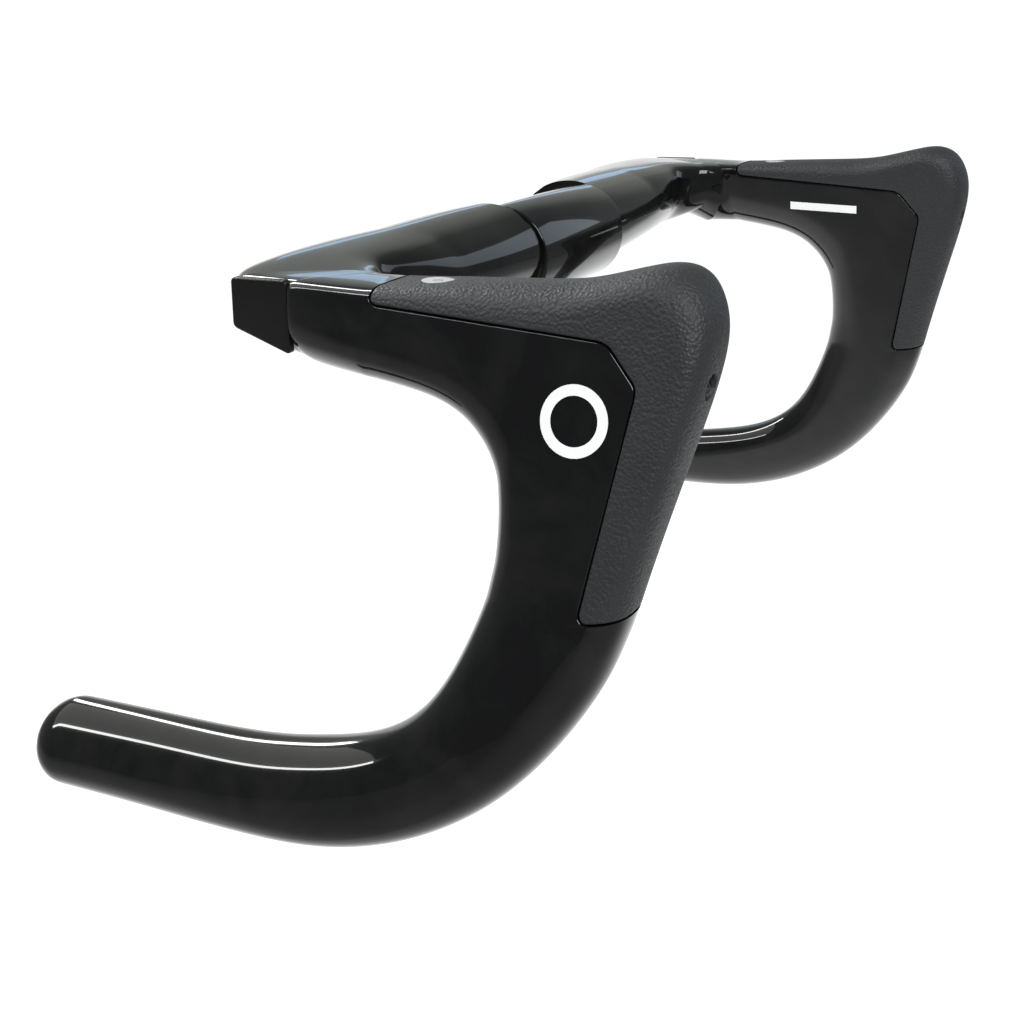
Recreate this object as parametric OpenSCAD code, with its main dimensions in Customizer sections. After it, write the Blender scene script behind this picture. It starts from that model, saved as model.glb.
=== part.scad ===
// Drop handlebar for track and time-trial bicycles: a round clamp zone in a
// wing-shaped crossbar, two forward ramps with rubber hoods, deep hooks and
// straight round drops.
// X points to the rider's right, Y forward, Z up. The origin is the middle
// of the clamp zone, on its axis. Millimetres.

/* [Overall] */
// Width over the outside of the bar ends
overall_w = 350; // [330:1:400]
// Sideways lean of each drop from upright, in degrees
flare = 12; // [6:0.5:14]

/* [Clamp zone] */
// Diameter of the round zone that the stem grips
clamp_d = 31.8; // [31:0.1:32]
// Length of the round zone
clamp_len = 60; // [50:1:66]
// Thickness of the sleeve on the crossbar
sleeve_wall = 1.5; // [1:0.1:2]

/* [Drops] */
// Diameter of the straight drop and width of the hook and ramp
grip_d = 23.8; // [22.2:0.1:25]

/* [Hood] */
// Width of the groove between the rubber hood and the bar
groove = 0.3; // [0.2:0.05:0.5]
// Height of the rubber hood's lower edge above the bar's axis, at its rear
hood_line_z = 9.2; // [8:0.1:9.6]

/* [Top screw] */
// Thread diameter of the countersunk screw on top of the hood
top_screw_d = 4; // [3.5:0.1:4.2]
// Diameter of its countersunk head
top_head_d = 8.4; // [8:0.1:9]
// Distance of the screw in front of the clamp axis
top_screw_y = 36.5; // [34:0.5:40]

/* [Front screw] */
// Thread diameter of the cap screw in the front of the hood
front_screw_d = 3; // [2.5:0.1:3.2]
// Diameter of the recess that the screw sits in
recess_d = 6.2; // [6:0.1:7]
// Depth of the recess
recess_depth = 9; // [7:0.5:10]

/* [Hidden] */
$fn = 64;

gloss_black = [0.06, 0.06, 0.065];
satin_black = [0.12, 0.12, 0.125];
rubber_grey = [0.2, 0.2, 0.21];
steel = [0.8, 0.8, 0.82];
brass_tone = [0.75, 0.62, 0.35];
decal_white = [0.95, 0.95, 0.95];

grip_r = grip_d / 2;
drop_axis_z = -124.5;
lean = tan(flare);
// Sideways place of an arm's middle plane at height z
function arm_x(z) = overall_w / 2 - grip_r - lean * (z - drop_axis_z);

// ---- Sections -------------------------------------------------------------
// A section lies between an under point and a top point. Its two sides stand
// off by a half-width vector and round into both points. It is
// [under, top, half-width vector, under rounding, top rounding,
//  under squareness, top squareness].
corner_steps = 4;
point_width = 0.04;

function squareness(rounding) = 2 + 3 * max(0, 1 - rounding / grip_r);

function section(under, top, half, lu, lt) =
    [under, top, half, lu, lt, squareness(lu), squareness(lt)];

function rounded(d, length, n) =
    d < length ? pow(1 - pow(1 - d / length, n), 1 / n) : 1;

// Share of the half width at distance d from the under point
function width_at(s, d) =
    let (depth = norm(s[1] - s[0]))
    max(point_width, min(rounded(d, s[3], s[5]), rounded(depth - d, s[4], s[6])));

// Distances from the under point at which a ring has its points
function ring_depths(s, d0, d1) =
    let (
        whole_under = d0 == 0,
        whole_top = d1 == norm(s[1] - s[0]),
        span = d1 - d0,
        low = whole_under ? min(s[3], span / 2) : span / 4,
        high = whole_top ? min(s[4], span / 2) : span / 4
    )
    concat(
        [for (k = [0:corner_steps]) d0 + low * (1 - cos(90 * k / corner_steps))],
        [for (k = [corner_steps - 1:-1:0]) d1 - high * (1 - cos(90 * k / corner_steps))]
    );

// Closed ring of points round the part of a section from d0 to d1
function ring(s, d0, d1) =
    let (
        depths = ring_depths(s, d0, d1),
        up = (s[1] - s[0]) / norm(s[1] - s[0]),
        last = len(depths) - 1
    )
    concat(
        [for (d = depths) s[0] + up * d + s[2] * width_at(s, d)],
        [for (k = [last:-1:0]) s[0] + up * depths[k] - s[2] * width_at(s, depths[k])]
    );

// Solid skin over a row of rings that all have the same number of points
module skin(rings) {
    n = len(rings[0]);
    last = len(rings) - 1;
    sides = [
        for (i = [0:last - 1], k = [0:n - 1])
            let (a = i * n + k, b = i * n + (k + 1) % n)
            each [[a, b, b + n], [a, b + n, a + n]]
    ];
    ends = [[for (k = [n - 1:-1:0]) k], [for (k = [0:n - 1]) last * n + k]];
    polyhedron(points = [for (r = rings) each r], faces = concat(sides, ends));
}

// Catmull-Rom curve through rows of numbers, with steps points to each span
function blend4(a, b, c, d, t) =
    0.5 * (2 * b + (c - a) * t + (2 * a - 5 * b + 4 * c - d) * t * t
        + (3 * b - a - 3 * c + d) * t * t * t);
function smooth(rows, steps) =
    let (last = len(rows) - 1)
    concat(
        [
            for (i = [0:last - 1], j = [0:steps - 1])
                blend4(rows[max(i - 1, 0)], rows[i], rows[i + 1],
                    rows[min(i + 2, last)], j / steps)
        ],
        [rows[last]]
    );

// ---- Arm ------------------------------------------------------------------
// Side outline of an arm in stations from the ramp to the drop's end:
// [inner y, inner z, outer y, outer z, inner rounding, outer rounding]
ramp_stations = [
    [20, -10.3, 20, 13.2, 11.9, 4],
    [23.5, -10.6, 23.5, 13.4, 11.9, 5]
];
hood_stations = [
    [23.6, -10.6, 23.6, 13.4, 11.9, 5],
    [32, -11.6, 30.5, 13.9, 11.9, 7],
    [41.5, -13.3, 40, 14.8, 12, 8],
    [49, -16.6, 59, 16.3, 13, 9],
    [54.3, -21.3, 75.3, 17.8, 14, 10],
    [57.2, -25.5, 88.7, 21.5, 15, 11],
    [59, -29.7, 98.8, 23.9, 16, 12],
    [59.8, -34, 106.3, 21.8, 16, 12],
    [60.2, -38, 110.8, 14.5, 16, 12],
    [60.4, -42, 112, 5.6, 16, 12],
    [60.4, -46, 110, -7, 16, 12],
    [60.2, -49.5, 106.3, -22, 16, 12],
    [59.6, -53, 102.5, -37, 16, 12],
    [59, -56.5, 99.8, -48, 16, 12],
    [58.3, -59.5, 97.8, -56.5, 16, 12]
];
hook_stations = [
    [58.2, -59.7, 97.7, -56.7, 16, 12],
    [56.2, -66, 95.9, -63, 16, 12],
    [52.8, -74.5, 92.6, -72, 16, 12],
    [48.8, -82.5, 88.2, -81, 16, 12],
    [43, -90.5, 82, -91, 16, 12],
    [34.5, -97.5, 73, -102.5, 16, 12.5],
    [23, -102.8, 60.5, -114, 15, 12.5],
    [9, -106.4, 42, -125, 14, 12.5],
    [-5.4, -109, 18, -132.5, 13, 12.5],
    [-22.2, -110.4, -12, -135, 12.3, 12.3],
    [-44, -111.4, -43, -135.6, 12, 12],
    [-69.5, drop_axis_z + grip_r, -69.5, drop_axis_z - grip_r, grip_r, grip_r]
];
rings_per_station = 2;

function arm_section(s) = section(
    [arm_x(s[1]), s[0], s[1]], [arm_x(s[3]), s[2], s[3]], [grip_r, 0, 0], s[4], s[5]
);
function depth_of(s) = norm(s[1] - s[0]);
function whole_ring(s) = ring(s, 0, depth_of(s));

// Seam between bar and hood in side view: lines of [y, z, normal y, normal z],
// the normals towards the hood. A section leaves the bar at the first line.
seam_lines = [
    [26, hood_line_z, 0.038, 1],
    [91.2, 2.4, 0.74, 0.67],
    [91.5, -28, 0.987, -0.16]
];
function crossing(s, line) =
    let (
        up = (s[1] - s[0]) / depth_of(s),
        rate = up[1] * line[2] + up[2] * line[3],
        gap = (line[0] - s[0][1]) * line[2] + (line[1] - s[0][2]) * line[3]
    )
    rate > 0.05 ? gap / rate : depth_of(s);
function seam_depth(s) = min([for (line = seam_lines) crossing(s, line)]);

// Rounded end of a drop: the last section shrunk over a quarter circle
dome_angle = 15;
function dome(s, ahead) = [
    for (a = [dome_angle:dome_angle:90 - dome_angle])
        let (middle = (s[0] + s[1]) / 2, share = cos(a), shift = ahead * sin(a))
        [
            middle + (s[0] - middle) * share + shift,
            middle + (s[1] - middle) * share + shift,
            s[2] * share, s[3] * share, s[4] * share, s[5], s[6]
        ]
];

module arm_body() {
    ramp = [for (s = ramp_stations) arm_section(s)];
    bed = [for (s = smooth(hood_stations, rings_per_station)) arm_section(s)];
    hook = [for (s = smooth(hook_stations, rings_per_station)) arm_section(s)];
    drop_end = dome(hook[len(hook) - 1], [0, -grip_r, 0]);
    skin(concat(
        [for (s = ramp) whole_ring(s)],
        [for (s = bed) ring(s, 0, seam_depth(s))],
        [for (s = concat(hook, drop_end)) whole_ring(s)]
    ));
}

// ---- Hood -----------------------------------------------------------------
module hood_body() {
    rows = smooth(hood_stations, rings_per_station);
    last = len(rows) - 1;
    function inset(from, to) = from + (to - from) * groove / norm([to[2] - from[2], to[3] - from[3]]);
    kept = concat(
        [inset(rows[0], rows[1])],
        [for (i = [1:last - 1]) rows[i]],
        [inset(rows[last], rows[last - 1])]
    );
    skin([
        for (row = kept)
            let (s = arm_section(row))
            ring(s, seam_depth(s) + groove, depth_of(s))
    ]);
}

// ---- Crossbar -------------------------------------------------------------
// Stations from the middle to the ramp:
// [rear x, rear y, front x, front y, under z, top z, under rounding, top rounding]
core_r = clamp_d / 2 - sleeve_wall - 0.1;
half_clamp = clamp_len / 2;
// The core reaches just past the sleeve, so that the wing stands clear of it
core_end = half_clamp + 0.1;
wing_start = core_end + 0.1;
plug_seat_x = 142.6;
wing_stations = [
    [wing_start, -23, wing_start, 14.3, -13.6, 16.6, 15, 15],
    [48, -27.5, 48, 13.5, -13, 16.2, 14.5, 14],
    [75, -29, 75, 11, -12, 15.4, 13.5, 12],
    [98, -28.5, 96, 7.5, -11.5, 14.6, 12.5, 9],
    [118, -26.8, 109, 5.5, -11, 14, 12, 7],
    [134, -24, 117, 9, -10.8, 13.3, 11.9, 5],
    [142.4, -18.6, 120.5, 13, -10.4, 12.8, 11.9, 4]
];
corner_stations = [
    [plug_seat_x, -0.8, 122.3, 18, -10.3, 13.1, 11.9, 4],
    [146, -0.4, 122.4, 18.2, -10.3, 13.1, 11.9, 4]
];

function wing_section(p) =
    let (
        middle = [(p[0] + p[2]) / 2, (p[1] + p[3]) / 2, 0],
        half = [(p[0] - p[2]) / 2, (p[1] - p[3]) / 2, 0]
    )
    section(middle + [0, 0, p[4]], middle + [0, 0, p[5]], half, p[6], p[7]);
function core_section(x) = wing_section(
    [x, -core_r, x, core_r, -core_r, core_r, core_r, core_r]
);
function mirrored(points) = [for (p = points) [-p[0], p[1], p[2]]];

module crossbar() {
    sections = concat(
        [core_section(core_end)],
        [for (p = smooth(wing_stations, rings_per_station)) wing_section(p)],
        [for (p = corner_stations) wing_section(p)],
        [arm_section(ramp_stations[0])]
    );
    rings = [for (s = sections) whole_ring(s)];
    last = len(rings) - 1;
    color(gloss_black)
        skin(concat([for (i = [last:-1:0]) mirrored(rings[i])], rings));
}

module clamp_sleeve() {
    color(gloss_black)
        rotate([0, 90, 0])
            difference() {
                cylinder(r = clamp_d / 2, h = clamp_len, center = true);
                cylinder(r = clamp_d / 2 - sleeve_wall, h = clamp_len + 1, center = true);
            }
}

// Flat plug that closes the outer end of the wing at its rear corner
plug_outline = [[-18.4, -0.8], [-18.4, 12.4], [-1, 12.8], [-1, -6.4]];
plug_thickness = 2.2;
module corner_plug() {
    color(satin_black)
        translate([plug_seat_x, 0, 0])
            rotate([90, 0, 90])
                linear_extrude(plug_thickness) polygon(plug_outline);
}

// ---- Fasteners ------------------------------------------------------------
top_screw_z = 14.3;
top_head_h = (top_head_d - top_screw_d) / 2;
top_screw_len = 13;
top_key = 2.5;
top_key_depth = 1.6;
top_insert_r = 3;
top_insert_z = 8;
top_insert_len = 8;
front_screw_y = 110.5;
front_screw_z = -3;
front_tilt = 9;
front_head_r = 2.75;
front_head_h = 3;
front_screw_len = 13;
front_key = 2.5;
front_key_depth = 1.5;
washer_r = 2.9;
washer_h = 0.5;
front_insert_r = 2.5;
front_insert_top = 16.6;
front_insert_len = 7;
// Clearance round a screw in the hood and the washer, and in an insert
play = 0.15;
insert_play = 0.02;

module at_top_screw() {
    translate([arm_x(top_screw_z), top_screw_y, top_screw_z]) children();
}

// Places children with +Z out of the hood's front along the screw axis
module at_front_screw() {
    translate([arm_x(front_screw_z), front_screw_y, front_screw_z])
        rotate([-90 - front_tilt, 0, 0])
            children();
}

module top_screw() {
    color(steel)
        at_top_screw()
            difference() {
                union() {
                    translate([0, 0, -top_head_h])
                        cylinder(d1 = top_screw_d, d2 = top_head_d, h = top_head_h);
                    translate([0, 0, -top_screw_len])
                        cylinder(d = top_screw_d, h = top_screw_len - top_head_h);
                }
                translate([0, 0, -top_key_depth])
                    cylinder(d = top_key / cos(30), h = 3, $fn = 6);
            }
}

module top_insert() {
    color(brass_tone)
        translate([arm_x(top_screw_z), top_screw_y, top_insert_z - top_insert_len])
            difference() {
                cylinder(r = top_insert_r, h = top_insert_len);
                translate([0, 0, -1]) cylinder(d = top_screw_d + 2 * insert_play, h = top_insert_len + 2);
            }
}

module front_screw() {
    color(steel)
        at_front_screw()
            translate([0, 0, -recess_depth + washer_h])
                difference() {
                    union() {
                        cylinder(r = front_head_r, h = front_head_h);
                        translate([0, 0, -front_screw_len])
                            cylinder(d = front_screw_d, h = front_screw_len);
                    }
                    translate([0, 0, front_head_h - front_key_depth])
                        cylinder(d = front_key / cos(30), h = 3, $fn = 6);
                }
}

module front_washer() {
    color(steel)
        at_front_screw()
            translate([0, 0, -recess_depth])
                difference() {
                    cylinder(r = washer_r, h = washer_h);
                    translate([0, 0, -1]) cylinder(d = front_screw_d + 2 * play, h = washer_h + 2);
                }
}

module front_insert() {
    color(brass_tone)
        at_front_screw()
            translate([0, 0, -front_insert_top - front_insert_len])
                difference() {
                    cylinder(r = front_insert_r, h = front_insert_len);
                    translate([0, 0, -1])
                        cylinder(d = front_screw_d + 2 * insert_play, h = front_insert_len + 2);
                }
}

// ---- Right-hand pieces, mirrored for the left -----------------------------
module arm() {
    color(gloss_black)
        difference() {
            arm_body();
            at_top_screw()
                translate([0, 0, top_insert_z - top_insert_len - top_screw_z])
                    cylinder(r = top_insert_r, h = 2 * top_insert_len);
            at_front_screw()
                translate([0, 0, -front_insert_top - front_insert_len])
                    cylinder(r = front_insert_r, h = 2 * front_insert_len);
        }
}

module hood() {
    color(rubber_grey)
        difference() {
            hood_body();
            at_top_screw() {
                translate([0, 0, -top_head_h - play])
                    cylinder(d1 = top_screw_d + play, d2 = top_head_d + play, h = top_head_h);
                translate([0, 0, -play]) cylinder(d = top_head_d + play, h = top_head_d);
                translate([0, 0, -top_screw_len])
                    cylinder(d = top_screw_d + 2 * play, h = top_screw_len);
            }
            at_front_screw() {
                translate([0, 0, -recess_depth]) cylinder(d = recess_d, h = 2 * recess_depth);
                translate([0, 0, -front_insert_top - front_insert_len])
                    cylinder(d = front_screw_d + 2 * play, h = front_insert_top + front_insert_len);
            }
        }
}

// Thin films under the lacquer: a plain ring outside, a plain bar inside
decal_t = 0.1;
ring_decal_r = 8.5;
ring_decal_w = 2.6;
module side_decal() {
    y = 81.5;
    z = -11;
    color(decal_white)
        translate([arm_x(z) + grip_r, y, z])
            rotate([0, 90 - flare, 0])
                difference() {
                    cylinder(r = ring_decal_r, h = decal_t);
                    translate([0, 0, -1])
                        cylinder(r = ring_decal_r - ring_decal_w, h = decal_t + 2);
                }
}

inner_decal_size = [3, 26];
module inner_decal() {
    y = 59;
    z = -1;
    color(decal_white)
        translate([arm_x(z) - grip_r, y, z])
            rotate([0, -90 - flare, 0])
                linear_extrude(decal_t) square(inner_decal_size, center = true);
}

module on_left() {
    mirror([1, 0, 0]) children();
}

crossbar();
clamp_sleeve();
corner_plug();  // right_corner_plug
on_left() corner_plug();  // left_corner_plug
arm();  // right_arm
on_left() arm();  // left_arm
hood();  // right_hood
on_left() hood();  // left_hood
top_screw();  // right_top_screw
on_left() top_screw();  // left_top_screw
top_insert();  // right_top_insert
on_left() top_insert();  // left_top_insert
front_screw();  // right_front_screw
on_left() front_screw();  // left_front_screw
front_washer();  // right_front_washer
on_left() front_washer();  // left_front_washer
front_insert();  // right_front_insert
on_left() front_insert();  // left_front_insert
side_decal();  // right_side_decal
on_left() side_decal();  // left_side_decal
inner_decal();  // right_inner_decal
on_left() inner_decal();  // left_inner_decal
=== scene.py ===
"""Drop handlebar: lacquered carbon shell with rubber hoods, in metres, X to the rider's right."""
import copy
import math

import bmesh
import bpy
from mathutils import Matrix, Vector
from mathutils.bvhtree import BVHTree


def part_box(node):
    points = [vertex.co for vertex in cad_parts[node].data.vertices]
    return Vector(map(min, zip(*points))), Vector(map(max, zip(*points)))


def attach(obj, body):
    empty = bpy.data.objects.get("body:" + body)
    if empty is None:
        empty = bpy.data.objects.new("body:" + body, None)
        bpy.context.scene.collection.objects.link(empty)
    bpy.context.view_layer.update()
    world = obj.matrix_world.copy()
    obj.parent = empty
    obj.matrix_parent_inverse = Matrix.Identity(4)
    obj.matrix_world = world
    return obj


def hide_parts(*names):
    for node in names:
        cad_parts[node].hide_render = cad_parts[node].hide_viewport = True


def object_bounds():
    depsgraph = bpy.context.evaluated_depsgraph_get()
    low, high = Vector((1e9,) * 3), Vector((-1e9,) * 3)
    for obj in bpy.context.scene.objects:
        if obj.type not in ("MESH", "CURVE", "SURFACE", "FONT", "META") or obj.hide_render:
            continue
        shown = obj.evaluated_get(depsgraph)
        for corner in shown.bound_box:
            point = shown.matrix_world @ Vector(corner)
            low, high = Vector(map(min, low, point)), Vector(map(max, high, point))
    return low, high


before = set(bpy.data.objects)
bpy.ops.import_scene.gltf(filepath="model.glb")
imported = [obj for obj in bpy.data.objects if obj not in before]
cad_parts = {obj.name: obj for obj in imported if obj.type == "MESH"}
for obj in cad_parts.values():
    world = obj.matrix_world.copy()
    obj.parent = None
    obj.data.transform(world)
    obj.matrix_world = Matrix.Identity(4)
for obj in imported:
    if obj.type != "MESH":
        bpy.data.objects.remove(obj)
cad_low, cad_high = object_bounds()

MM = 0.001

# ---- Sizes, in millimetres, from the frame where it holds them --------------
CLAMP_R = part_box("clamp_sleeve")[1].z / MM
HALF_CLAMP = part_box("clamp_sleeve")[1].x / MM
ARM_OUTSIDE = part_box("right_arm")[1].x / MM
GRIP_R = 11.9
LEAN_ANGLE = math.radians(12)
DROP_AXIS_Z = -124.5
SLEEVE_WALL = 1.5
WING_GAP = 0.2
CORE_PAST_SLEEVE = 0.1
CORE_PLAY = 0.1
# Gap all round between the lacquer and a hood
GROOVE = 0.3

# Side outline of an arm in stations from the ramp to the end of the drop:
# inner y, inner z, outer y, outer z, inner rounding, outer rounding
ARM_STATIONS = [
    (20, -10.3, 20, 13.2, 11.9, 4),
    (23.5, -10.6, 23.5, 13.4, 11.9, 4.5),
    (32, -11.6, 30.5, 13.9, 11.9, 5.5),
    (41.5, -13.3, 40, 14.8, 12, 6.5),
    (49, -16.6, 59, 16.3, 13, 8.5),
    (54.3, -21.3, 75.3, 17.8, 14, 10),
    (57.2, -25.5, 88.6, 21.4, 15, 10.5),
    (59, -29.7, 98.5, 23.6, 16, 10.5),
    (59.8, -34, 105.6, 21.3, 16, 10),
    (60.2, -38, 109.7, 14.2, 16, 9.5),
    (60.4, -42, 110.6, 5.5, 16, 9),
    (60.4, -46, 108.6, -6.9, 16, 9),
    (60.2, -49.5, 105, -21.7, 16, 9),
    (59.6, -53, 101.4, -36.7, 16, 9.5),
    (59, -56.5, 98.9, -47.8, 16, 10),
    (58.3, -59.5, 97.1, -56.4, 16, 10.5),
    (56.2, -66, 95.5, -62.9, 16, 11),
    (52.8, -74.5, 92.6, -72, 16, 12),
    (48.8, -82.5, 88.2, -81, 16, 12),
    (43, -90.5, 82, -91, 16, 12),
    (34.5, -97.5, 73, -102.5, 16, 12.5),
    (23, -102.8, 60.5, -114, 15, 12.5),
    (9, -106.4, 42, -125, 14, 12.5),
    (-5.4, -109, 18, -132.5, 13, 12.5),
    (-22.2, -110.4, -12, -135, 12.3, 12.3),
    (-44, -111.4, -43, -135.6, 12, 12),
    (-69.5, DROP_AXIS_Z + GRIP_R, -69.5, DROP_AXIS_Z - GRIP_R, GRIP_R, GRIP_R),
]
# The stations between which the hood lies on the arm
HOOD_FIRST = 1
HOOD_LAST = 15
# Seam between bar and hood in side view: y, z and the normal towards the hood
SEAM_LINES = [
    (26, 9.2, 0.038, 1),
    (91.2, 2.4, 0.74, 0.67),
    (91.5, -28, 0.987, -0.16),
]
# Crossbar stations outwards from the clamp zone: rear x, rear y, front x,
# front y, under z, top z, under rounding, top rounding
WING = [
    (HALF_CLAMP + WING_GAP, -23, HALF_CLAMP + WING_GAP, 14.3, -13.6, 16.6, 15, 15),
    (48, -27.5, 48, 13.5, -13, 16.2, 14.5, 14),
    (75, -29, 75, 11, -12, 15.4, 13.5, 12),
    (98, -28.5, 96, 7.5, -11.5, 14.6, 12.5, 9),
    (118, -26.8, 109, 5.5, -11, 14, 12, 7),
    (134, -24, 117, 9, -9, 13.3, 10.5, 5),
    (142.4, -18.6, 120.5, 13, -6.4, 12.8, 9, 4),
]
# The rear corner where the crossbar runs into an arm, in the same order
CORNER = [
    (142.6, -0.8, 122.3, 18, -10.3, 13.1, 11.9, 4),
    (146, -0.4, 122.4, 18.2, -10.3, 13.1, 11.9, 4),
]


# ---- Rows of numbers along a part -------------------------------------------
def blend_rows(rows, at):
    """Catmull-Rom curve through rows, read at a place counted in rows."""
    last = len(rows) - 1
    i = min(int(at), last - 1)
    t = at - i
    a, b, c, d = rows[max(i - 1, 0)], rows[i], rows[i + 1], rows[min(i + 2, last)]
    return tuple(
        0.5 * (2 * q + (r - p) * t + (2 * p - 5 * q + 4 * r - s) * t * t
               + (3 * q - p - 3 * r + s) * t ** 3)
        for p, q, r, s in zip(a, b, c, d)
    )


def dense_rows(rows, per_span):
    count = (len(rows) - 1) * per_span
    return [blend_rows(rows, k / per_span) for k in range(count + 1)]


def fair(rows, passes, held=2):
    """Evens out the curvature of a run of rows and leaves its ends in place."""
    rows = [list(row) for row in rows]
    for _ in range(passes):
        rows = [
            row if k < held or k >= len(rows) - held else
            [(p + 2 * q + r) / 4 for p, q, r in zip(rows[k - 1], row, rows[k + 1])]
            for k, row in enumerate(rows)
        ]
    return rows


# ---- Sections ---------------------------------------------------------------
# Points on one side of a section: in a rounding, on the flat and in a lip
ROUND_STEPS = 9
SIDE_STEPS = 5
LIP_STEPS = 4
# Shares of the half width: how far the sides swell, and the least width at a point
CROWN = 0.03
POINT_WIDTH = 0.03
# Radii of the rounded edges along the seam, and the depth that their points take up
BAR_LIP = 0.5
PAD_LIP = 0.7
LIP_ROOM = 0.8
# The most of a cut section that its rounding may take up
ROUND_SHARE = 0.6


def quarter(steps):
    """Shares of a rounding from its flat end, spaced evenly round the curve."""
    return [1 - math.cos(math.pi / 2 * k / steps) for k in range(steps)]


class Section:
    """A cross-section between an under and a top point, with a half-width vector.

    Depths run from the under point to the top point. A small rounding gets a
    squarer curve than a quarter circle.
    """

    def __init__(self, numbers):
        self.under, self.top, half = (Vector(numbers[k:k + 3]) for k in (0, 3, 6))
        self.rounds = numbers[9:11]
        self.depth = (self.top - self.under).length
        self.up = (self.top - self.under) / self.depth
        self.reach = half.length
        self.across = half / self.reach
        flat = max(0.0, self.depth - sum(self.rounds)) / self.depth
        self.powers = [2 + 3 * max(0.0, 1 - r / GRIP_R) for r in self.rounds]
        self.crown = CROWN * min(1.0, 3 * flat)

    def moved(self, step, share=1.0):
        """The same section a step away and smaller by a share."""
        middle = (self.under + self.top) / 2
        other = copy.copy(self)
        other.under = middle + (self.under - middle) * share + step
        other.top = middle + (self.top - middle) * share + step
        other.depth *= share
        other.reach *= share
        other.rounds = [r * share for r in self.rounds]
        return other

    def width(self, d, near=0.0, lip=0.0):
        """Half width at a depth, less a lip when the cut is near."""
        found = 1.0
        for end, r, n in zip((d, self.depth - d), self.rounds, self.powers):
            if end < r:
                found = min(found, max(0.0, 1 - (1 - max(end, 0.0) / r) ** n) ** (1 / n))
        middle = (2 * d - self.depth) / self.depth
        width = found * (1 - self.crown * middle * middle) * self.reach
        if near < lip:
            width -= lip - math.sqrt(lip * lip - (lip - near) ** 2)
        return max(width, POINT_WIDTH * self.reach)

    def below(self, cut):
        """Depths from the under point up to a cut."""
        low = min(self.rounds[0], ROUND_SHARE * cut)
        room = min(LIP_ROOM, 0.1 * cut)
        side = [low + (cut - room - low) * k / SIDE_STEPS for k in range(SIDE_STEPS)]
        edge = [cut - room * turn for turn in quarter(LIP_STEPS)[::-1]]
        return [low * turn for turn in quarter(ROUND_STEPS)] + side + [cut - room] + edge

    def above(self, cut):
        """Depths from a cut up to the top point."""
        high = min(self.rounds[1], ROUND_SHARE * (self.depth - cut))
        start = self.depth - high
        side = [cut + (start - cut) * (k + 1) / SIDE_STEPS for k in range(SIDE_STEPS)]
        return side + [self.depth - high * turn for turn in quarter(ROUND_STEPS)[::-1]]

    def loop(self, depths, widths, bridge=()):
        """Points up one side, over a bridge and down the other, in metres."""
        right, left = (
            [(self.under + self.up * d + self.across * w * side) * MM
             for d, w in zip(depths, widths)]
            for side in (1, -1)
        )
        return right + list(bridge) + left[::-1]

    def whole_ring(self, cut):
        """The full outline, with its points laid out as in a cut one."""
        depths = self.below(cut) + self.above(cut)
        return self.loop(depths, [self.width(d) for d in depths])

    def bed_ring(self, cut):
        """The part under a cut, with rounded edges and a flat bed on top."""
        depths = self.below(cut)
        widths = [self.width(d, cut - d, BAR_LIP) for d in depths]
        count = 2 * len(self.above(cut)) + 1
        shares = [1 - 2 * k / count for k in range(1, count)]
        middle = self.under + self.up * cut
        bridge = [(middle + self.across * widths[-1] * share) * MM for share in shares]
        return self.loop(depths, widths, bridge)

    def pad_ring(self, start, inset):
        """The part over a cut, with rounded edges, smaller all round by an inset."""
        edge = [start + PAD_LIP * turn for turn in quarter(LIP_STEPS)]
        depths = edge + [start + PAD_LIP] + self.above(start + PAD_LIP)
        least = POINT_WIDTH * self.reach
        widths = [max(self.width(d, d - start, PAD_LIP) - inset, least) for d in depths]
        depths = [min(max(d, start + inset), self.depth - inset) for d in depths]
        return self.loop(depths, widths)


def arm_x(z):
    """Middle of the right arm at a height; the arms lean out towards the drops."""
    return ARM_OUTSIDE - GRIP_R - math.tan(LEAN_ANGLE) * (z - DROP_AXIS_Z)


def arm_numbers(row):
    """An arm station as under point, top point, half width and roundings."""
    yi, zi, yo, zo, ri, ro = row
    return (arm_x(zi), yi, zi, arm_x(zo), yo, zo, GRIP_R, 0, 0, ri, ro)


def wing_numbers(row):
    """A crossbar station in the same form, its width along rear and front."""
    xr, yr, xf, yf, zu, zt, ru, rt = row
    x, y = (xr + xf) / 2, (yr + yf) / 2
    return (x, y, zu, x, y, zt, (xr - xf) / 2, (yr - yf) / 2, 0, ru, rt)


# Rows between two stations, and how often a run of them is evened out
STEPS = 10
ARM_PASSES = 16
WING_PASSES = 10
CORNER_ROWS = [wing_numbers(row) for row in CORNER]
ARM_ROWS = [arm_numbers(row) for row in ARM_STATIONS]
ARM_RUN = fair(dense_rows(CORNER_ROWS + ARM_ROWS, STEPS), ARM_PASSES)
# Places in the run: the crossbar is bonded on, the bed begins and the bed ends
BOND = len(CORNER_ROWS) * STEPS
BED_START = BOND + HOOD_FIRST * STEPS
BED_END = BOND + HOOD_LAST * STEPS


# ---- Meshes -----------------------------------------------------------------
SHARP_FROM = math.radians(35)
# Points nearer than this, in metres, are one
MERGE = 1e-7


def loft(rings):
    """Closed skin over rings of points that follow each other along a part."""
    bm = bmesh.new()
    loops = []
    for points in rings:
        verts = bmesh.ops.create_circle(bm, segments=len(points), radius=1)["verts"]
        for vert, point in zip(verts, points):
            vert.co = point
        loops.append(list({edge for vert in verts for edge in vert.link_edges}))
    for near, far in zip(loops, loops[1:]):
        bmesh.ops.bridge_loops(bm, edges=near + far)
    for end in (loops[0], loops[-1]):
        bmesh.ops.edgeloop_fill(bm, edges=end)
    bmesh.ops.recalc_face_normals(bm, faces=bm.faces)
    return bm


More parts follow.
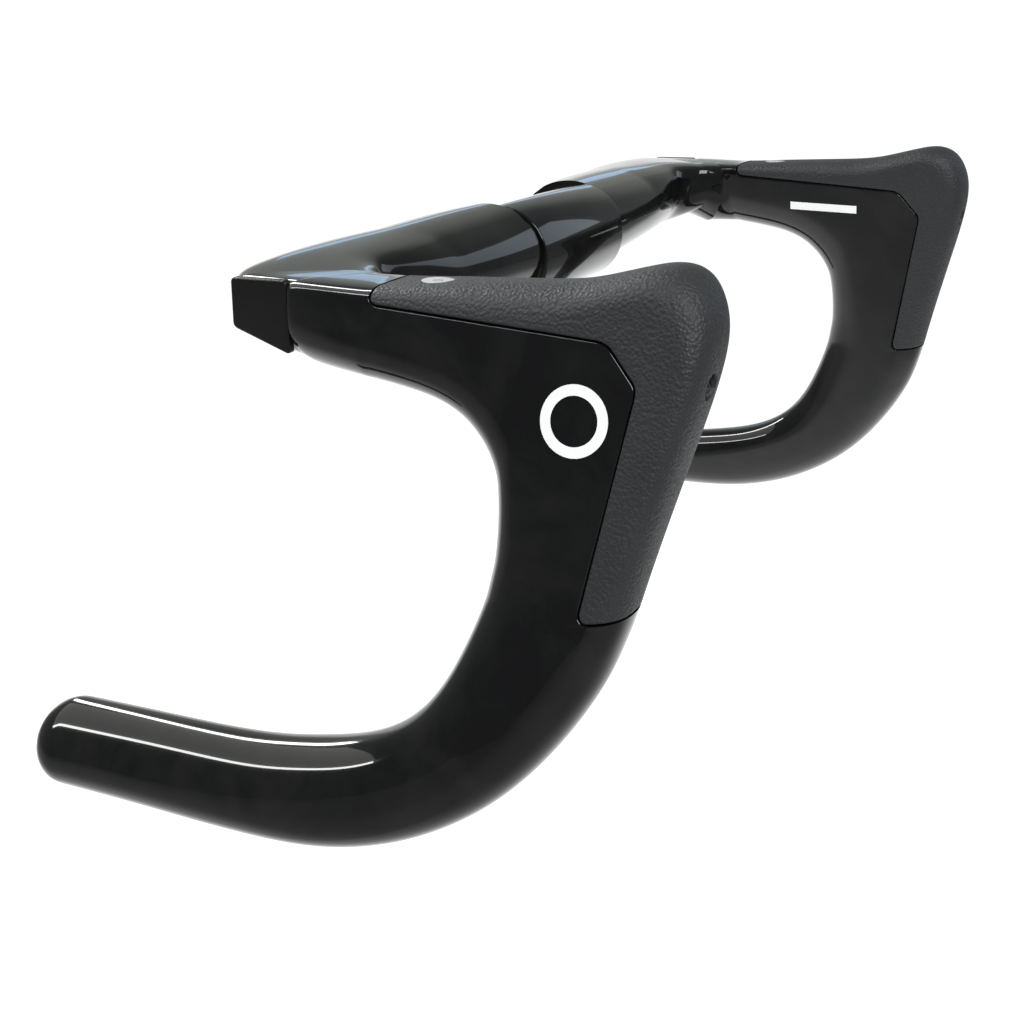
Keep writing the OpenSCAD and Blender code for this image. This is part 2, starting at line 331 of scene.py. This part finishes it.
def finished(bm, node, material):
    """Turns a bmesh into the piece that stands for a CAD node."""
    name = f"{node}_skin"
    mesh = bpy.data.meshes.new(name)
    bm.to_mesh(mesh)
    bm.free()
    mesh.shade_smooth()
    mesh.set_sharp_from_angle(angle=SHARP_FROM)
    piece = bpy.data.objects.new(name, mesh)
    bpy.context.scene.collection.objects.link(piece)
    mesh.materials.append(material)
    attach(piece, "root")
    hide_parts(node)


def mirrored(bm):
    """A copy of a bmesh on the other side of the bar."""
    other = bm.copy()
    bmesh.ops.scale(other, vec=(-1, 1, 1), verts=other.verts)
    bmesh.ops.reverse_faces(other, faces=other.faces)
    return other


def pair(bm, name, material):
    """The right-hand piece and its mirror image on the left."""
    other = mirrored(bm)
    for side, mesh in (("right", bm), ("left", other)):
        finished(mesh, f"{side}_{name}", material)


# ---- Materials --------------------------------------------------------------
class Value:
    """A socket or number in a material, with Python arithmetic on it."""

    def __init__(self, kit, held):
        self.kit = kit
        self.held = held

    def _join(self, operation, a, b):
        return self.kit.node("ShaderNodeMath", {"operation": operation}, {0: a, 1: b})

    def __add__(self, other):
        return self._join("ADD", self, other)

    def __radd__(self, other):
        return self._join("ADD", other, self)

    def __sub__(self, other):
        return self._join("SUBTRACT", self, other)

    def __rsub__(self, other):
        return self._join("SUBTRACT", other, self)

    def __mul__(self, other):
        return self._join("MULTIPLY", self, other)

    def __rmul__(self, other):
        return self._join("MULTIPLY", other, self)


class NodeKit:
    """Adds nodes to a material's or the world's tree."""

    def __init__(self, tree, shader, place):
        self.tree = tree
        self.shader = tree.nodes[shader]
        coordinates = tree.nodes.new("ShaderNodeTexCoord")
        self.place = Value(self, coordinates.outputs[place])

    def node(self, kind, settings=None, inputs=None, output=0):
        """Adds a node with its settings, then its sockets, and gives one output."""
        made = self.tree.nodes.new(kind)
        for name, value in (settings or {}).items():
            if name == "stops":
                ramp = made.color_ramp
                for k, (position, grey) in enumerate(value):
                    stop = ramp.elements[k] if k < 2 else ramp.elements.new(position)
                    stop.position = position
                    stop.color = (grey, grey, grey, 1)
            else:
                setattr(made, name, value)
        for socket, value in (inputs or {}).items():
            if isinstance(value, Value):
                self.tree.links.new(value.held, made.inputs[socket])
            else:
                made.inputs[socket].default_value = value
        return Value(self, made.outputs[output])

    def mixed(self, share, dark, light):
        """Colour between dark at share 0 and light at share 1."""
        return self.node(
            "ShaderNodeMix", {"data_type": "RGBA"}, {0: share, 6: dark, 7: light}, output=2
        )

    def feed(self, socket, value):
        """Links a value to a socket of the shader."""
        self.tree.links.new(value.held, self.shader.inputs[socket])

    def bump(self, height, strength, distance):
        self.feed("Normal", self.node(
            "ShaderNodeBump", None,
            {"Height": height, "Strength": strength, "Distance": distance},
        ))

    def noise(self, scale, detail=2.0, roughness=0.5, distortion=0.0):
        return self.node("ShaderNodeTexNoise", None, {
            "Vector": self.place, "Scale": scale, "Detail": detail,
            "Roughness": roughness, "Distortion": distortion,
        })

    def along(self, direction):
        """How far the place lies along a direction."""
        return self.node("ShaderNodeVectorMath", {"operation": "DOT_PRODUCT"},
                         {0: self.place, 1: direction}, output=1)

    def eased(self, value, low, high):
        """0 below low, 1 above high and a smooth step between."""
        return self.node("ShaderNodeMapRange", {"interpolation_type": "SMOOTHSTEP"},
                         {0: value, 1: low, 2: high, 3: 0.0, 4: 1.0})


class Finish(NodeKit):
    """One material: a Principled shader and whatever feeds it."""

    def __init__(self, name, **constants):
        self.material = bpy.data.materials.new(name)
        self.material.use_nodes = True
        super().__init__(self.material.node_tree, "Principled BSDF", "Object")
        for socket, value in constants.items():
            self.shader.inputs[socket.replace("_", " ")].default_value = value


def lacquer():
    """Deep gloss black: clear coat over a barely visible carbon mottle."""
    finish = Finish("gloss_black_lacquer", Coat_Weight=0.7, Coat_Roughness=0.015, Coat_IOR=1.5,
                    Specular_IOR_Level=0.05)
    mottle = finish.noise(38, detail=5, roughness=0.65, distortion=0.6)
    share = finish.node("ShaderNodeValToRGB", {"stops": [(0.42, 0), (0.72, 1)]}, {0: mottle})
    finish.feed("Base Color", finish.mixed(
        share, (0.003, 0.003, 0.0035, 1), (0.01, 0.011, 0.009, 1)))
    finish.feed("Roughness", mottle * 0.12 + 0.1)
    return finish.material


def hood_rubber():
    """Dark grey rubber with a fine pebbled grain."""
    finish = Finish("grained_hood_rubber", Specular_IOR_Level=0.42)
    pebbles = finish.node("ShaderNodeTexVoronoi", {"feature": "SMOOTH_F1"}, {
        "Vector": finish.place, "Scale": 1150, "Smoothness": 0.2, "Randomness": 1.0,
    })
    grain = finish.noise(1400, detail=3, roughness=0.6)
    patches = finish.noise(60, detail=3)
    height = pebbles * -1.0 + grain * 0.35
    finish.bump(height, 0.85, 0.00028)
    finish.feed("Base Color", finish.mixed(
        patches, (0.019, 0.0205, 0.022, 1), (0.027, 0.029, 0.031, 1)))
    finish.feed("Roughness", pebbles * 0.25 + 0.42)
    return finish.material


def satin_plastic():
    """Satin moulded plastic of the corner plugs."""
    finish = Finish("satin_plug_plastic", Specular_IOR_Level=0.3)
    grain = finish.noise(900, detail=3)
    finish.bump(grain, 0.12, 0.0001)
    finish.feed("Base Color", finish.mixed(
        grain, (0.0045, 0.005, 0.0045, 1), (0.007, 0.0075, 0.0065, 1)))
    finish.feed("Roughness", grain * 0.1 + 0.3)
    return finish.material


def bright_steel():
    """Turned stainless steel of the screw heads and washers."""
    finish = Finish("bright_screw_steel", Metallic=1.0)
    grain = finish.noise(2500, detail=2)
    finish.feed("Base Color", finish.mixed(
        grain, (0.8, 0.8, 0.81, 1), (0.93, 0.93, 0.94, 1)))
    finish.feed("Roughness", grain * 0.15 + 0.38)
    return finish.material


def turned_brass():
    """Turned brass of the threaded inserts."""
    finish = Finish("turned_brass", Metallic=1.0)
    grain = finish.noise(2000, detail=2)
    finish.feed("Base Color", finish.mixed(
        grain, (0.55, 0.4, 0.18, 1), (0.72, 0.56, 0.28, 1)))
    finish.feed("Roughness", grain * 0.2 + 0.25)
    return finish.material


def white_film():
    """White film under the lacquer, with a faint painted glow (emission) so that it stays white in
    shade.
    """
    finish = Finish("white_film_under_lacquer", Coat_Weight=1.0, Coat_Roughness=0.03,
                    Emission_Strength=0.25)
    grain = finish.noise(700, detail=2)
    # Painted glow: the film gives off a little light of its own so that shade does not darken it.
    finish.feed("Emission Color", finish.mixed(
        grain, (0.85, 0.86, 0.86, 1), (0.95, 0.96, 0.96, 1)))
    finish.feed("Base Color", finish.mixed(
        grain, (0.78, 0.79, 0.79, 1), (0.86, 0.87, 0.87, 1)))
    finish.feed("Roughness", grain * 0.1 + 0.3)
    return finish.material


LACQUER = lacquer()
RUBBER = hood_rubber()
SATIN = satin_plastic()
STEEL = bright_steel()
BRASS = turned_brass()
FILM = white_film()


# ---- Hood seam --------------------------------------------------------------
SEAM_SOFTNESS = 2.2
REAR_CORNER_R = 2.6
LOW_CORNER_R = 3.6
# A seam line that runs nearly along a section doesn't cut it
LEAST_CROSSING = 0.05
LEAST_HOOD = 1.0
# Places of the extra sections near an end of the hood, counted in rows
END_PLACES = [0.04 * 1.55 ** k for k in range(11)]
LOW_END_SPREAD = 1.2


def seam_depth(section):
    """Distance from the inner point to the seam, its corners rounded."""
    depths = []
    for y, z, ny, nz in SEAM_LINES:
        rate = section.up.y * ny + section.up.z * nz
        if rate > LEAST_CROSSING:
            depths.append(((y - section.under.y) * ny + (z - section.under.z) * nz) / rate)
    depths.sort()
    if len(depths) == 1:
        return depths[0]
    near, far = depths[:2]
    mix = max(0.0, SEAM_SOFTNESS - (far - near)) / SEAM_SOFTNESS
    return near - mix * mix * SEAM_SOFTNESS / 4


def seam_point(section):
    """Where the seam crosses a section, on its middle line."""
    return section.under + section.up * seam_depth(section)


def hood_sections():
    """Sections through the hood zone, closer together at its two ends."""
    even = ARM_RUN[BED_START:BED_END + 1]
    last = len(even) - 1
    near_end = {last - LOW_END_SPREAD * place for place in END_PLACES}
    places = set(range(last + 1)) | set(END_PLACES) | near_end
    return [Section(blend_rows(even, at)) for at in sorted(places)]


HOOD_SECTIONS = hood_sections()


def corner_rise(section, end_section, radius):
    """How far the seam has climbed towards a rounded end of the hood."""
    from_end = (seam_point(section) - seam_point(end_section)).length
    if from_end >= radius:
        return 0.0
    return radius - math.sqrt(max(0.0, radius ** 2 - (radius - from_end) ** 2))


def hood_start(section):
    """Depth at which the hood begins on a section."""
    rise = max(
        corner_rise(section, HOOD_SECTIONS[0], REAR_CORNER_R),
        corner_rise(section, HOOD_SECTIONS[-1], LOW_CORNER_R),
    )
    return min(seam_depth(section) + rise, section.depth - LEAST_HOOD)


# Shares of the depth at which the seam meets the bed's two ends
REAR_SHARE = hood_start(HOOD_SECTIONS[0]) / HOOD_SECTIONS[0].depth
LOW_SHARE = hood_start(HOOD_SECTIONS[-1]) / HOOD_SECTIONS[-1].depth


# ---- Arm --------------------------------------------------------------------
DOME_STEPS = 12
# Length of the ledge at each end of the bed, counted in rows
LEDGE = 0.03


def dome_rings(section):
    """The closed round end of a drop."""
    turns = [math.pi / 2 * k / DOME_STEPS for k in range(1, DOME_STEPS)]
    return [
        section.moved(Vector((0, -GRIP_R * math.sin(turn), 0)), math.cos(turn))
        for turn in turns
    ]


def arm_mesh():
    """Bar with a bed for the hood; narrow ledges stand at the bed's ends."""
    ramp = [Section(row) for row in ARM_RUN[BOND:BED_START]]
    ramp.append(Section(blend_rows(ARM_RUN, BED_START - LEDGE)))
    hook = [Section(blend_rows(ARM_RUN, BED_END + LEDGE))]
    hook += [Section(row) for row in ARM_RUN[BED_END + 1:]]
    rings = [s.whole_ring(s.depth * REAR_SHARE) for s in ramp]
    rings += [s.bed_ring(hood_start(s)) for s in HOOD_SECTIONS]
    rings += [s.whole_ring(s.depth * LOW_SHARE) for s in hook + dome_rings(hook[-1])]
    return loft(rings)


# ---- Hood -------------------------------------------------------------------
def from_ends(section, sections):
    """Distance along the seam to the nearer end of a run of sections."""
    return min(
        (seam_point(section) - seam_point(end)).length for end in (sections[0], sections[-1])
    )


def hood_mesh():
    """Pad over the bed, a groove away from the bar, its edges rounded over."""
    kept = [s for s in HOOD_SECTIONS if from_ends(s, HOOD_SECTIONS) > GROOVE]
    rings = []
    for s in kept:
        away = from_ends(s, kept)
        inset = 0.0
        if away < PAD_LIP:
            inset = PAD_LIP - math.sqrt(PAD_LIP ** 2 - (PAD_LIP - away) ** 2)
        rings.append(s.pad_ring(hood_start(s) + GROOVE, inset))
    return loft(rings)


# ---- Crossbar ---------------------------------------------------------------
def crossbar_mesh():
    """Core through the clamp zone and a wing on each side, up to the arms."""
    core_r = CLAMP_R - SLEEVE_WALL - CORE_PLAY
    core_x = HALF_CLAMP + CORE_PAST_SLEEVE
    core = wing_numbers((core_x, -core_r, core_x, core_r, -core_r, core_r, core_r, core_r))
    wing = fair(dense_rows([wing_numbers(row) for row in WING], STEPS), WING_PASSES, held=1)
    sections = [Section(row) for row in [core] + wing + ARM_RUN[:BOND + 1]]
    rings = [s.whole_ring(s.depth * REAR_SHARE) for s in sections]
    other = [[Vector((-p.x, p.y, p.z)) for p in ring] for ring in rings]
    return loft(other[::-1] + rings)


# ---- Turned shapes ----------------------------------------------------------
SLEEVE_EASE = 0.6
EASE_STEPS = 5
FULL_TURN = 2 * math.pi
ALONG_Z_TO_X = Matrix.Rotation(math.pi / 2, 4, "Y")


def turned(outline, steps, place, closed=False):
    """A solid spun round Z from an outline of radius and height, then placed."""
    bm = bmesh.new()
    verts = [bm.verts.new((r * MM, 0, z * MM)) for r, z in outline]
    following = verts[1:] + verts[:1] if closed else verts[1:]
    edges = [bm.edges.new(ends) for ends in zip(verts, following)]
    bmesh.ops.spin(bm, geom=verts + edges, cent=(0, 0, 0), axis=(0, 0, 1),
                   angle=FULL_TURN, steps=steps, use_merge=True)
    bmesh.ops.remove_doubles(bm, verts=bm.verts, dist=MERGE)
    bmesh.ops.recalc_face_normals(bm, faces=bm.faces)
    bmesh.ops.transform(bm, matrix=place, verts=bm.verts)
    return bm


def sleeve_mesh():
    """The round clamp zone: a ring along the bar's axis with eased outer edges."""
    inner_r = CLAMP_R - SLEEVE_WALL
    eased = [
        (CLAMP_R - SLEEVE_EASE * (1 - math.sin(turn)), HALF_CLAMP - SLEEVE_EASE * (1 - math.cos(turn)))
        for turn in (math.pi / 2 * k / EASE_STEPS for k in range(EASE_STEPS + 1))
    ]
    half = [(inner_r, HALF_CLAMP)] + eased
    outline = [(r, -z) for r, z in half] + half[::-1]
    return turned(outline, 96, ALONG_Z_TO_X, closed=True)


# ---- Holes, plugs and films -------------------------------------------------
TOP_SCREW = Vector((arm_x(14.3), 36.5, 14.3)) * MM
FRONT_HOLE = Vector((arm_x(-3), 110.5, -3)) * MM
FRONT_TILT = math.radians(9)
# Radius and height along each hole, from its closed end to clear of the hood
COUNTERSINK = [
    (0, -12), (2.15, -12), (2.15, -2.25), (4.3, -0.1), (4.3, 0.02), (4.7, 0.4), (4.7, 6), (0, 6),
]
RECESS = [
    (0, -9), (3.1, -9), (3.1, -2), (3.3, -1.4), (4.2, -0.6), (4.2, 6), (0, 6),
]


def loose(bm, name):
    """An object for the length of one boolean."""
    data = bpy.data.meshes.new(name)
    bm.to_mesh(data)
    bm.free()
    thing = bpy.data.objects.new(name, data)
    bpy.context.scene.collection.objects.link(thing)
    return thing


def cut(bm, cutters):
    """Takes closed cutters out of a closed mesh."""
    body = loose(bm, "body")
    tools = [loose(cutter, "cutter") for cutter in cutters]
    for tool in tools:
        taking = body.modifiers.new("cut", "BOOLEAN")
        taking.operation = "DIFFERENCE"
        taking.solver = "EXACT"
        taking.object = tool
    shaped = body.evaluated_get(bpy.context.evaluated_depsgraph_get())
    result = bmesh.new()
    result.from_mesh(shaped.to_mesh())
    shaped.to_mesh_clear()
    for thing in [body] + tools:
        data = thing.data
        bpy.data.objects.remove(thing)
        bpy.data.meshes.remove(data)
    return result


def hood_cutters():
    """Countersink on top and the deep recess in front, with eased mouths."""
    lean = Matrix.Rotation(-math.pi / 2 - FRONT_TILT, 4, "X")
    return [
        turned(COUNTERSINK, 48, Matrix.Translation(TOP_SCREW)),
        turned(RECESS, 48, Matrix.Translation(FRONT_HOLE) @ lean),
    ]


# Inner and outer face of a plug, its corners in side view from the matching
# corners of a cube, and its two bevels
PLUG_INNER_X = 142.6
PLUG_OUTER_X = 144.8
PLUG_CORNERS = {
    (-1, -1): (-18.4, -0.8),
    (-1, 1): (-18.3, 12.1),
    (1, 1): (-1, 12.7),
    (1, -1): (-1, -6.4),
}
PLUG_CORNER_R = 1.2
PLUG_EDGE_R = 0.6


def eased_edges(bm, edges, radius, segments):
    bmesh.ops.bevel(bm, geom=edges, offset=radius * MM, segments=segments, profile=0.5,
                    affect="EDGES", material=-1, offset_type="OFFSET")


def plug_mesh():
    """Bevelled plate at the wing's rear corner."""
    bm = bmesh.new()
    bmesh.ops.create_cube(bm, size=2)
    for vert in bm.verts:
        y, z = PLUG_CORNERS[(round(vert.co.y), round(vert.co.z))]
        x = PLUG_INNER_X if vert.co.x < 0 else PLUG_OUTER_X
        vert.co = Vector((x, y, z)) * MM
    halfway = (PLUG_INNER_X + PLUG_OUTER_X) / 2 * MM
    crossing = [edge for edge in bm.edges if len({v.co.x > halfway for v in edge.verts}) == 2]
    eased_edges(bm, crossing, PLUG_CORNER_R, 5)
    outer = [edge for edge in bm.edges if all(v.co.x > halfway for v in edge.verts)]
    eased_edges(bm, outer, PLUG_EDGE_R, 4)
    return bm


# Films stand just proud of the arm; rays are sent down on it from outside
RING_INNER_R = 5.9
RING_OUTER_R = 8.5
BAR_HALF_WIDTH = 1.5
BAR_HALF_LENGTH = 13
FILM_PROUD = 0.03
FILM_THICK = 0.05
RAY_START = 4


def film_mesh(bm, place, turn, arm):
    """Lays a flat outline onto the arm's side as a thin film."""
    bmesh.ops.transform(bm, matrix=Matrix.Translation(place) @ turn, verts=bm.verts)
    tree = BVHTree.FromBMesh(arm)
    inward = turn @ Vector((0, 0, -1))
    for vert in bm.verts:
        hit = tree.ray_cast(vert.co - inward * RAY_START * MM, inward)[0]
        vert.co = hit - inward * FILM_PROUD * MM
    bmesh.ops.solidify(bm, geom=bm.faces, thickness=-FILM_THICK * MM)
    bmesh.ops.recalc_face_normals(bm, faces=bm.faces)
    return bm


def ring_film():
    bm = bmesh.new()
    inner = bmesh.ops.create_circle(bm, segments=96, radius=RING_INNER_R * MM)["verts"]
    edges = list({edge for vert in inner for edge in vert.link_edges})
    wide = bmesh.ops.extrude_edge_only(bm, edges=edges)["geom"]
    rim = [item for item in wide if isinstance(item, bmesh.types.BMVert)]
    growth = RING_OUTER_R / RING_INNER_R
    bmesh.ops.scale(bm, vec=(growth, growth, 1), verts=rim)
    return bm


def bar_film():
    bm = bmesh.new()
    bmesh.ops.create_grid(bm, x_segments=4, y_segments=24, size=1)
    bmesh.ops.scale(bm, vec=(BAR_HALF_WIDTH * MM, BAR_HALF_LENGTH * MM, 1), verts=bm.verts)
    return bm


# ---- Assembly ---------------------------------------------------------------
right_arm = arm_mesh()
ring_place = Vector((arm_x(-11) + GRIP_R, 81.5, -11)) * MM
bar_place = Vector((arm_x(-1) - GRIP_R, 59, -1)) * MM
outside = Matrix.Rotation(math.pi / 2 - LEAN_ANGLE, 4, "Y")
inside = Matrix.Rotation(-math.pi / 2 - LEAN_ANGLE, 4, "Y")
side_film = film_mesh(ring_film(), ring_place, outside, right_arm)
inner_film = film_mesh(bar_film(), bar_place, inside, right_arm)

pair(right_arm, "arm", LACQUER)
pair(cut(hood_mesh(), hood_cutters()), "hood", RUBBER)
pair(plug_mesh(), "corner_plug", SATIN)
pair(side_film, "side_decal", FILM)
pair(inner_film, "inner_decal", FILM)
finished(crossbar_mesh(), "crossbar", LACQUER)
finished(sleeve_mesh(), "clamp_sleeve", LACQUER)

for node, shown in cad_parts.items():
    for key, material in (("screw", STEEL), ("washer", STEEL), ("insert", BRASS)):
        if key in node:
            shown.data.materials.clear()
            shown.data.materials.append(material)


# ---- Studio, in metres ------------------------------------------------------
CAMERA_PLACE = (0.44793, 0.2184, 0.0863)
CAMERA_AZIMUTH = math.radians(117.21)
CAMERA_ELEVATION = math.radians(20.05)


def camera():
    """Looks down at the bar from outside the right arm and a little ahead."""
    data = bpy.data.cameras.new("camera")
    data.lens = 52.5
    data.sensor_width = 36
    data.clip_start = 0.01
    eye = bpy.data.objects.new("camera", data)
    back = Vector((
        math.sin(CAMERA_AZIMUTH) * math.cos(CAMERA_ELEVATION),
        -math.cos(CAMERA_AZIMUTH) * math.cos(CAMERA_ELEVATION),
        math.sin(CAMERA_ELEVATION),
    ))
    turn = (-back).to_track_quat("-Z", "Y").to_matrix().to_4x4()
    eye.matrix_world = Matrix.Translation(CAMERA_PLACE) @ turn
    bpy.context.scene.collection.objects.link(eye)
    bpy.context.scene.camera = eye


LAMP_TARGET = Vector((0.1, 0, -0.05))


def area_light(name, place, size, power, colour=(1, 1, 1), roll=0):
    """A rectangular lamp that faces the bar, rolled about its own axis in degrees."""
    data = bpy.data.lights.new(name, "AREA")
    data.shape = "RECTANGLE"
    data.size, data.size_y = size
    data.energy = power
    data.color = colour
    lamp = bpy.data.objects.new(name, data)
    aim = LAMP_TARGET - Vector(place)
    lamp.matrix_world = (
        Matrix.Translation(place) @ aim.to_track_quat("-Z", "Y").to_matrix().to_4x4()
        @ Matrix.Rotation(math.radians(roll), 4, "Z")
    )
    bpy.context.scene.collection.objects.link(lamp)


# Direction of the backdrop from the bar, and the direction across it
BACKDROP = (-0.87, -0.49, 0)
ACROSS = (-0.49, 0.87, 0)
FLOOR_RADIUS = 2.2
FLOOR_DROP = 0.25


def floor():
    """Glowing floor under the bar with a painted pool of light: its glow and colour are bright white
    behind the bar and painted dimmer in front and far to the sides.
    """
    bm = bmesh.new()
    bmesh.ops.create_circle(bm, cap_ends=True, segments=96, radius=FLOOR_RADIUS)
    bmesh.ops.translate(bm, verts=bm.verts, vec=(0, 0, cad_low.z - FLOOR_DROP))
    mesh = bpy.data.meshes.new("floor")
    bm.to_mesh(mesh)
    bm.free()
    ground = bpy.data.objects.new("floor", mesh)
    finish = Finish("pale_floor", Roughness=0.9, Emission_Strength=0.9)
    depth = finish.along(BACKDROP)
    aside = finish.node("ShaderNodeMath", {"operation": "ABSOLUTE"}, {0: finish.along(ACROSS)})
    # Mask of the floor's painted pool of light: bright towards the backdrop, falling off in front and
    # far to the sides.
    near = finish.eased(depth, -0.4, 0.03)
    middle = finish.eased(aside - depth * 0.45, 0.65, 0.25)
    lit = near * middle
    # Colour and glow are both painted brighter inside the pool of light.
    finish.feed("Base Color", finish.mixed(
        lit, (0.3, 0.3, 0.3, 1), (0.45, 0.45, 0.45, 1)))
    finish.feed("Emission Color", finish.mixed(
        lit, (0.16, 0.16, 0.16, 1), (0.97, 0.97, 0.97, 1)))
    mesh.materials.append(finish.material)
    bpy.context.scene.collection.objects.link(ground)


def surroundings():
    """White wall behind the bar, greyer high up, and a dim room on the other sides."""
    world = bpy.data.worlds.new("studio")
    bpy.context.scene.world = world
    world.use_nodes = True
    kit = NodeKit(world.node_tree, "Background", "Generated")
    behind = kit.eased(kit.along(BACKDROP), 0.76, 0.9)
    low = kit.eased(kit.along((0, 0, -1)), -0.14, -0.03)
    wall = kit.mixed(low, (0.42, 0.44, 0.41, 1), (1.08, 1.08, 1.08, 1))
    kit.feed("Color", kit.mixed(behind, (0.2, 0.205, 0.21, 1), wall))


def studio_lights():
    """A dim panel between two bright tubes, a cool side panel and a soft key."""
    area_light("rear_panel", (0.05, -1.0, 0.95), (1.1, 0.9), 3.6, (0.97, 1, 0.94))
    area_light("left_tube", (-0.42, -0.78, 0.62), (0.08, 0.8), 5)
    area_light("right_tube", (0.53, -0.66, 0.84), (0.08, 1.1), 7, roll=-22)
    area_light("cool_panel", (-1.1, 0.7, 0.45), (0.6, 0.5), 1.2, (0.75, 0.87, 1))
    area_light("blue_window", (-1.5, -0.85, 0.33), (0.7, 0.12), 0.3, (0.4, 0.65, 1))
    area_light("soft_key", (0.9, 1.3, 1.2), (1.0, 1.0), 34)


camera()
floor()
surroundings()
studio_lights()
bpy.context.scene.view_settings.view_transform = "Standard"
